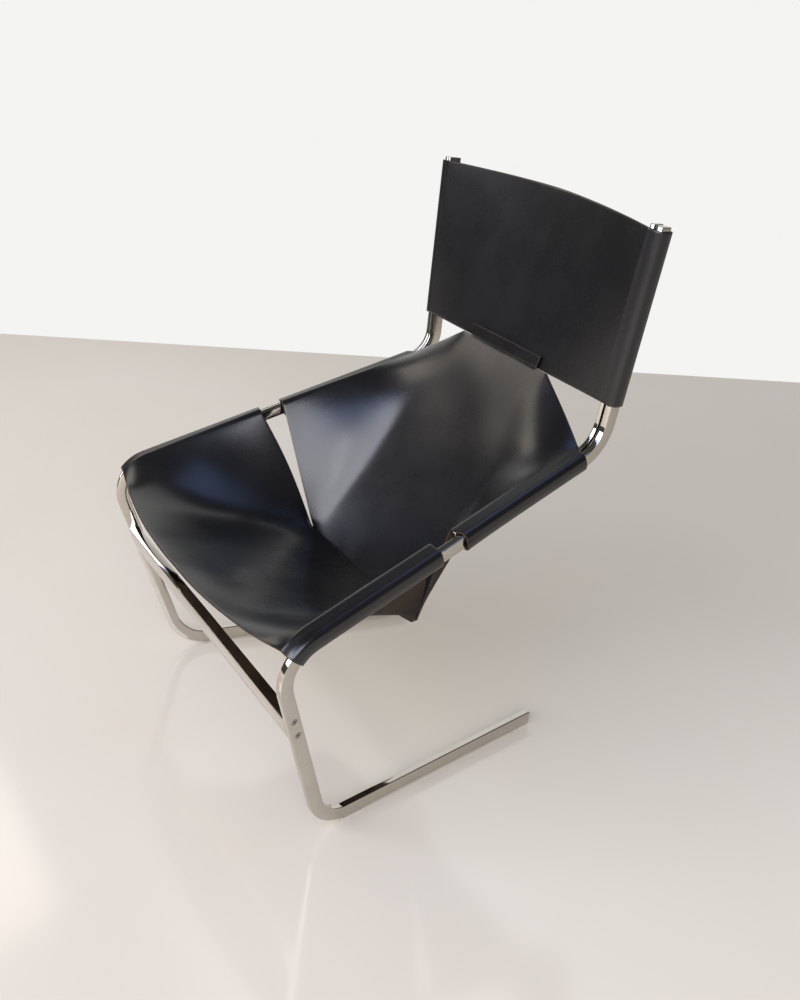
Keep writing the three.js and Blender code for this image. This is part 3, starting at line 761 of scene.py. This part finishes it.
def frontSeam():
    return corneredLine(slitTip - seamOffset, leavingPoint(1, hemSpans["front"][1]),
                        seatShape["seamBow"], seatShape["seamSag"], seatShape["slitBulge"])


def rearSeam():
    return corneredLine(slitTip + seamOffset, leavingPoint(1, hemSpans["rear"][0]),
                        seatShape["seamBow"], seatShape["seamSag"], 0)


def frontSurface():
    edge = bowedLine(leavingPoint(1, hemSpans["front"][0]), seatShape["edgeBulge"],
                     seatShape["edgeSag"], seatShape["bulgePower"], seatShape["sagPower"])
    return ruled(edge, frontSeam())


def rearSurface():
    corner = tongueCorner + backForward * slotWidth
    end = leavingPoint(1, hemSpans["rear"][1] + hemShape["skew"])
    return ruled(rearSeam(), corneredLine(corner, end, 0, 0, seatShape["tongueBulge"]))


def columnShares():
    # one column on each side runs right through the corners of the cut
    half = meshShape["across"] // 2
    inner = round(half * meshShape["innerShare"])
    corner = seatShape["cornerShare"]
    shares = [corner * i / inner for i in range(inner + 1)]
    shares += [corner + (1 - corner) * i / (half - inner) for i in range(1, half - inner + 1)]
    return [-s for s in reversed(shares[1:])] + shares


def slitShift(side, v, amounts):
    # the left hems have slipped back a little at the slit
    fade = max(side, 0) * (1 - v) ** hemShape["slitPower"]
    return [amount * fade for amount in amounts]


def panelRow(surface, mark, v, flare, shift):
    sides = {}
    for side in (-1, 1):
        outer, inner = shift(side, v)
        drop = dropTowards(side, mark + inner, surface(side * hemShape["aim"], v))
        hem = [onSide(side, mark + outer + (inner - outer) * share, out, across)
               for out, across, share in hemSection(flare, drop)]
        edge = hem.pop()
        sides[side] = (hem, edge - surface(side, v))
    middle = []
    for u in columns:
        pull = sides[-1 if u < 0 else 1][1]
        middle.append(surface(u, v) + pull * abs(u) ** seatShape["pullPower"])
    return sides[-1][0] + middle + sides[1][0][::-1]


def panelRows(surface, span, flareAt, shift):
    count = round((span[1] - span[0]) / meshShape["rowStep"])
    rows = []
    for i in range(count + 1):
        v = i / count
        rows.append(panelRow(surface, span[0] + (span[1] - span[0]) * v, v, flareAt(v), shift))
    return rows


columns = columnShares()
middleCount = len(columns)
hemCount = len(hemSection(0.0, math.radians(hemShape["dropRange"][0]))) - 1


# Thick leather that has been sat on: it settles, and slow waves run through it
waves = {
    "front": {"length": 95 * mm, "height": 1.6 * mm, "rounds": 40, "seed": 3.1},
    "rear": {"length": 105 * mm, "height": 2.0 * mm, "rounds": 16, "seed": 8.7},
    "back": {"length": 150 * mm, "height": 1.0 * mm, "rounds": 12, "seed": 5.3},
}
settlePace = 0.8
waveRise = 5


def toArray(rows):
    return np.array([[list(p) for p in row] for row in rows])


def wearIn(rows, wave):
    # the hanging part settles like a stretched skin, while its rims and hems stay where they are
    points = toArray(rows)
    count, width = points.shape[:2]
    first, last = hemCount, width - hemCount
    for _ in range(wave["rounds"]):
        inner = points[1:-1, first + 1:last - 1]
        mean = (points[:-2, first + 1:last - 1] + points[2:, first + 1:last - 1]
                + points[1:-1, first:last - 2] + points[1:-1, first + 2:last]) / 4
        inner += (mean - inner) * settlePace
    normals = np.cross(np.gradient(points, axis=1), np.gradient(points, axis=0))
    normals /= np.maximum(np.linalg.norm(normals, axis=2, keepdims=True), 1e-9)
    for i in range(count):
        for j in range(first, last):
            inward = min(j - first, last - 1 - j) / (middleCount / 2)
            fade = min(1.0, inward * waveRise)
            place = Vector(points[i, j]) * (1 / wave["length"]) + Vector((wave["seed"], 0, 0))
            points[i, j] += normals[i, j] * noise.noise(place) * wave["height"] * fade
    return points


def lengthsAlong(points, axis):
    steps = np.linalg.norm(np.diff(points, axis=axis), axis=2)
    total = np.cumsum(steps, axis=axis)
    pad = [(0, 0), (0, 0)]
    pad[axis] = (1, 0)
    return np.pad(total, pad)


def makeSheet(name, points, keepFace, node,
              thickness=leatherSizes["thickness"], rim=2):
    # a flat grid is laid over the points, trimmed to the cut, and given the hide's thickness
    count, width = points.shape[:2]
    deselectAll()
    bpy.ops.mesh.primitive_grid_add(x_subdivisions=width - 1, y_subdivisions=count - 1, size=1)
    piece = bpy.context.object
    mesh = piece.data
    mesh.vertices.foreach_set("co", points.reshape(-1))
    across, along = lengthsAlong(points, 1), lengthsAlong(points, 0)
    middle = width // 2
    uv = mesh.uv_layers.active.data
    for loop in mesh.loops:
        i, j = divmod(loop.vertex_index, width)
        uv[loop.index].uv = (across[i, j] - across[i, middle], along[i, middle])
    useOnly(piece)
    bpy.ops.object.mode_set(mode="EDIT")
    bpy.ops.mesh.select_mode(type="FACE")
    bpy.ops.mesh.select_all(action="DESELECT")
    bpy.ops.object.mode_set(mode="OBJECT")
    for polygon in mesh.polygons:
        i, j = divmod(min(polygon.vertices), width)
        polygon.select = not keepFace(i, j)
    bpy.ops.object.mode_set(mode="EDIT")
    bpy.ops.mesh.delete(type="FACE")
    bpy.ops.object.mode_set(mode="OBJECT")
    markEdgeDistance(piece)
    namePiece(piece, name)
    for material in (grainLeather, fleshLeather, cutEdge):
        mesh.materials.append(material)
    applyModifier(piece, "SOLIDIFY", thickness=thickness, offset=0,
                  use_quality_normals=True, use_even_offset=True, material_offset=1,
                  material_offset_rim=rim)
    applyModifier(piece, "BEVEL", width=leatherSizes["edgeRound"], segments=2, limit_method="ANGLE",
                  angle_limit=math.radians(55), material=rim)
    smoothPiece(piece, 50)
    placePiece(piece, [node])


def markEdgeDistance(piece):
    # how far each point is from the cut edge, in mm, for the wear along it
    mesh = piece.data
    use = {}
    for polygon in mesh.polygons:
        for key in polygon.edge_keys:
            use[key] = use.get(key, 0) + 1
    rim = {v for key, count in use.items() if count == 1 for v in key}
    co = np.empty(len(mesh.vertices) * 3)
    mesh.vertices.foreach_get("co", co)
    co = co.reshape(-1, 3)
    rimPoints = co[sorted(rim)]
    nearest = np.empty(len(co))
    step = meshShape["wearBlock"]
    for start in range(0, len(co), step):
        gap = np.linalg.norm(co[start:start + step, None] - rimPoints[None], axis=2)
        nearest[start:start + step] = gap.min(axis=1) / mm
    layer = mesh.attributes.new("edgeMm", "FLOAT", "POINT")
    layer.data.foreach_set("value", nearest.astype(np.float32))


def flangeRows(line):
    # the turned-down edge at the keel, deepest midway and cut off at a slant at both ends
    least, most = seatShape["keelDepth"]
    rows = []
    for k in range(meshShape["flangeRows"]):
        share = (k + 1) / meshShape["flangeRows"]
        row = []
        for u in columns:
            inward = max(0.0, 1 - (abs(u) / seatShape["cornerShare"]) ** seatShape["keelPower"])
            depth = (least + (most - least) * inward) * share
            row.append(line(u * (1 - seatShape["keelSlant"] * share)) - Vector((0, 0, depth)))
        rows.append(row)
    return rows


def withHems(middleRows, likeRow):
    # rows beyond the panel repeat its hems, which are trimmed away later
    return [likeRow[:hemCount] + row + likeRow[-hemCount:] for row in middleRows]


def isWithin(j, share):
    k = j - hemCount
    return 0 <= k < middleCount - 1 and max(abs(columns[k]), abs(columns[k + 1])) <= share + 1e-6


def makeFrontPanel():
    rows = panelRows(frontSurface(), hemSpans["front"], lambda v: 0.0,
                     lambda side, v: slitShift(side, 1 - v, hemShape["frontSlit"]))
    last = len(rows) - 1
    flange = toArray(withHems(flangeRows(frontSeam()), rows[-1]))
    makeSheet("frontSeatSling", np.concatenate([wearIn(rows, waves["front"]), flange]),
              lambda i, j: i < last or isWithin(j, seatShape["cornerShare"]),
              "front_seat_panel")


def rearShift(side, v):
    outer, inner = slitShift(side, v, hemShape["rearSlit"])
    return outer, inner + hemShape["skew"] * v ** hemShape["skewPower"]


def makeRearPanel():
    rows = panelRows(rearSurface(), hemSpans["rear"],
                     lambda v: hemShape["flare"] * (1 - v) ** hemShape["flarePower"], rearShift)
    flange = withHems(flangeRows(rearSeam()), rows[0])[::-1]
    lapRows = []
    for k in range(meshShape["lapRows"]):
        v = seatShape["lapHeight"] * (k + 1) / meshShape["lapRows"] / backHeight
        lapRows.append([onBack(u, v) + backForward * slotWidth for u in columns])
    points = [toArray(flange), wearIn(rows, waves["rear"]), toArray(withHems(lapRows, rows[-1]))]
    first, last = len(flange), len(flange) + len(rows) - 1

    def keep(i, j):
        if i < first:
            return isWithin(j, seatShape["cornerShare"])
        return i < last or isWithin(j, lapShare)

    makeSheet("rearSeatSling", np.concatenate(points), keep, "rear_seat_panel")


def makeBackPanel():
    rows = panelRows(backSurface(), hemSpans["back"], lambda v: 0.0, lambda side, v: (0.0, 0.0))
    makeSheet("backSling", wearIn(rows, waves["back"]), lambda i, j: True, "back_panel")


def makeCoverStrip():
    # it lies over the joint of tongue and back, and its rim is dyed like its face
    offset = slotWidth / 2 + jointGrip + seatShape["stripThickness"] / 2
    start, count, half = seatShape["stripStart"], meshShape["stripRows"], meshShape["stripHalf"]
    rows = []
    for k in range(count + 1):
        v = (start + (seatShape["lapHeight"] - start) * k / count) / backHeight
        rows.append([onBack(lapShare * (i / half - 1), v) + backForward * offset
                     for i in range(2 * half + 1)])
    makeSheet("backJointCover", toArray(rows), lambda i, j: True, "back_joint_cover_strip",
              thickness=seatShape["stripThickness"], rim=0)


makeFrontPanel()
makeRearPanel()
makeBackPanel()
makeCoverStrip()
print("leather panels and cover strip made")


# Tubular rivets with domed heads, at these places across the chair in mm
rivetShape = {
    "head": 4 * mm, "headHeight": 1 * mm, "shank": 1.8 * mm, "sides": 32,
    "dome": [(1, 0.35), (0.82, 0.75), (0.45, 0.95), (0.12, 1)],
    "keelDrop": 7 * mm, "keelPlaces": [-168, -84, 0, 84, 168], "jointPlaces": [-84, -28, 28, 84],
}


def makeRivetMaster():
    head, dome, shank = rivetShape["head"], rivetShape["headHeight"], rivetShape["shank"]
    half = [(shank, jointGrip), (head, jointGrip)]
    half += [(head * radius, jointGrip + dome * height) for radius, height in rivetShape["dome"]]
    return turnRings([(radius, -height) for radius, height in reversed(half)] + half,
                     rivetShape["sides"])


def keelMatrix(place):
    line = corneredLine(slitTip, slitTip, seatShape["seamBow"], seatShape["seamSag"], 0)
    u = seatShape["cornerShare"] * place * mm / slitTip.x
    step = 0.01
    tangent = line(u + step) - line(u - step)
    turn = math.atan2(tangent.y, tangent.x)
    place = Matrix.Translation(line(u) - Vector((0, 0, rivetShape["keelDrop"])))
    return place @ Matrix.Rotation(turn, 4, "Z") @ Matrix.Rotation(math.pi / 2, 4, "X")


def jointMatrix(place):
    u = seatShape["cornerShare"] * place * mm / tongueCorner.x
    point = onBack(u, seatShape["lapHeight"] / backHeight / 2) + backForward * slotWidth / 2
    return Matrix.Translation(point) @ Matrix.Rotation(math.pi / 2 - backSlope, 4, "X")


rivetMaster = makeRivetMaster()
for name, places, matrixAt in (("keel_rivet", rivetShape["keelPlaces"], keelMatrix),
                               ("back_joint_rivet", rivetShape["jointPlaces"], jointMatrix)):
    for i, place in enumerate(places):
        copyPiece(rivetMaster, f"{name}_{i + 1}", matrixAt(place), rivetBrass)
bpy.data.objects.remove(rivetMaster)
print("rivets made")


# A plain pale floor that ends at a white wall, and the wall is the world itself. The world has
# strength 1 for the camera and for reflections towards the wall, "dim" for other reflections, and
# "fill" for the light that it sheds.
stageLook = {
    "floor": "#dcd2c0", "floorPale": "#e0d7c7", "floorRoughness": 0.12, "floorPolish": 0.1,
    "floorReach": 9, "cloudsPerMetre": 1.2,
    "wall": "#f4f4f2", "wallFrom": Vector((-2.4246, 0.1666, 0)), "wallTo": Vector((-1.1085, 1.9117, 0)),
    "fill": 0.36, "dim": 0.085, "wallSpan": (0.62, 0.92), "towerSpan": (0.9, 0.95), "towerSquash": 0.2,
}
# name, azimuth and elevation in degrees, distance, width and height in metres, watts, colour
lamps = [
    ("window1", -38, 27, 7.0, (6.7, 3.4), 412, "#f5f5ff"),
    ("window2", -92, 27, 7.0, (6.7, 3.4), 412, "#f5f5ff"),
    ("fanlight", -72, 47, 7.0, (10.0, 1.5), 110, "#9dbaff"),
    ("sky", 60, 72, 3.0, (1.5, 1.3), 8, "#9dbaff"),
    ("bounce", -160, 33, 3.0, (1.3, 0.8), 7, "#fff6ea"),
]
lampTarget = Vector((0, 0, 0.45))
cameraView = {
    "lens": 46.48, "sensor": 36, "place": (1.9226, -1.01908, 1.4446),
    "azimuth": 60.525, "elevation": 25.160, "roll": 1.044,
}
wallAlong = (stageLook["wallTo"] - stageLook["wallFrom"]).normalized()


def makeFloor():
    deselectAll()
    bpy.ops.mesh.primitive_plane_add(size=1)
    floor = bpy.context.object
    namePiece(floor, "paleFloor")
    across = Vector((wallAlong.y, -wallAlong.x, 0))
    reach = stageLook["floorReach"]
    corners = [(-reach, 0), (reach, 0), (-reach, reach), (reach, reach)]
    for vertex, (a, b) in zip(floor.data.vertices, corners):
        vertex.co = stageLook["wallFrom"] + wallAlong * a + across * b
    # polished stone: a pale tone that drifts a little, under a thin even shine
    m = newMaterial("polishedFloor")
    place = addNode(m, "ShaderNodeTexCoord")
    clouds = addNode(m, "ShaderNodeTexNoise", None,
                     {"Vector": (place, "Object"), "Scale": stageLook["cloudsPerMetre"], "Detail": 3.0})
    tone = addNode(m, "ShaderNodeValToRGB", None, {"Fac": (clouds, "Fac")})
    setRamp(tone, 0.3, stageLook["floor"], 0.7, stageLook["floorPale"])
    body = addNode(m, "ShaderNodeBsdfDiffuse", None, {"Color": (tone, "Color")})
    polish = addNode(m, "ShaderNodeBsdfGlossy", None, {"Roughness": stageLook["floorRoughness"]})
    shader = addNode(m, "ShaderNodeMixShader", None,
                     {"Fac": stageLook["floorPolish"], 1: (body, "BSDF"), 2: (polish, "BSDF")})
    addNode(m, "ShaderNodeOutputMaterial", None, {"Surface": (shader, "Shader")})
    floor.data.materials.append(m)


def makeWorld():
    world = bpy.data.worlds.new("studio")
    bpy.context.scene.world = world
    world.use_nodes = True
    world.node_tree.nodes.clear()
    rays = addNode(world, "ShaderNodeLightPath")
    place = addNode(world, "ShaderNodeTexCoord")
    # reflections show the wall low down over a wide stretch, and higher up only in a narrow one
    squash = addNode(world, "ShaderNodeVectorMath", {"operation": "MULTIPLY"},
                     {0: (place, "Generated"), 1: (1, 1, stageLook["towerSquash"])})
    tower = addNode(world, "ShaderNodeVectorMath", {"operation": "NORMALIZE"}, {0: (squash, "Vector")})
    parts = []
    for way, span in (((place, "Generated"), "wallSpan"), ((tower, "Vector"), "towerSpan")):
        towards = addNode(world, "ShaderNodeVectorMath", {"operation": "DOT_PRODUCT"},
                          {0: way, 1: (-wallAlong.y, wallAlong.x, 0)})
        least, most = stageLook[span]
        parts.append(addNode(world, "ShaderNodeMapRange", {"interpolation_type": "SMOOTHSTEP"},
                             {"Value": (towards, "Value"), "From Min": least, "From Max": most,
                              "To Min": stageLook["dim"], "To Max": 1.0}))
    wall = addNode(world, "ShaderNodeMath", {"operation": "MAXIMUM"},
                   {0: (parts[0], "Result"), 1: (parts[1], "Result")})
    gloss = addNode(world, "ShaderNodeMapRange", None,
                    {"Value": (rays, "Is Glossy Ray"), "To Min": stageLook["fill"],
                     "To Max": (wall, "Value")})
    seen = addNode(world, "ShaderNodeMath", {"operation": "MAXIMUM"},
                   {0: (rays, "Is Camera Ray"), 1: (rays, "Is Transmission Ray")})
    strength = addNode(world, "ShaderNodeMapRange", None,
                       {"Value": (seen, "Value"), "To Min": (gloss, "Result"), "To Max": 1.0})
    back = addNode(world, "ShaderNodeBackground", None,
                   {"Color": hexColour(stageLook["wall"]), "Strength": (strength, "Result")})
    addNode(world, "ShaderNodeOutputWorld", None, {"Surface": (back, "Background")})


def addSoftbox(name, azimuth, elevation, distance, size, power, colour):
    data = bpy.data.lights.new(name, "AREA")
    data.shape = "RECTANGLE"
    data.size, data.size_y = size
    data.energy = power
    data.color = hexColour(colour)[:3]
    lamp = bpy.data.objects.new(name, data)
    bpy.context.collection.objects.link(lamp)
    turn, rise = math.radians(azimuth), math.radians(elevation)
    way = Vector((math.cos(turn) * math.cos(rise), math.sin(turn) * math.cos(rise), math.sin(rise)))
    way.normalize()
    lamp.location = lampTarget + way * distance
    lamp.rotation_euler = (-way).to_track_quat("-Z", "Y").to_euler()
    lamp.visible_camera = False


def makeCamera():
    data = bpy.data.cameras.new("camera")
    data.lens = cameraView["lens"]
    data.sensor_width = cameraView["sensor"]
    camera = bpy.data.objects.new("camera", data)
    bpy.context.collection.objects.link(camera)
    azimuth, elevation, roll = (math.radians(cameraView[k]) for k in ("azimuth", "elevation", "roll"))
    forward = Vector((-math.sin(azimuth) * math.cos(elevation),
                      math.cos(azimuth) * math.cos(elevation), -math.sin(elevation)))
    right = Vector((math.cos(azimuth), math.sin(azimuth), 0))
    up = right.cross(forward)
    rolledRight = right * math.cos(roll) + up * math.sin(roll)
    rolledUp = up * math.cos(roll) - right * math.sin(roll)
    turn = Matrix((rolledRight, rolledUp, -forward)).transposed().to_4x4()
    camera.matrix_world = Matrix.Translation(cameraView["place"]) @ turn
    bpy.context.scene.camera = camera


makeFloor()
makeWorld()
for lamp in lamps:
    addSoftbox(*lamp)
makeCamera()
bpy.context.scene.view_settings.view_transform = "Standard"
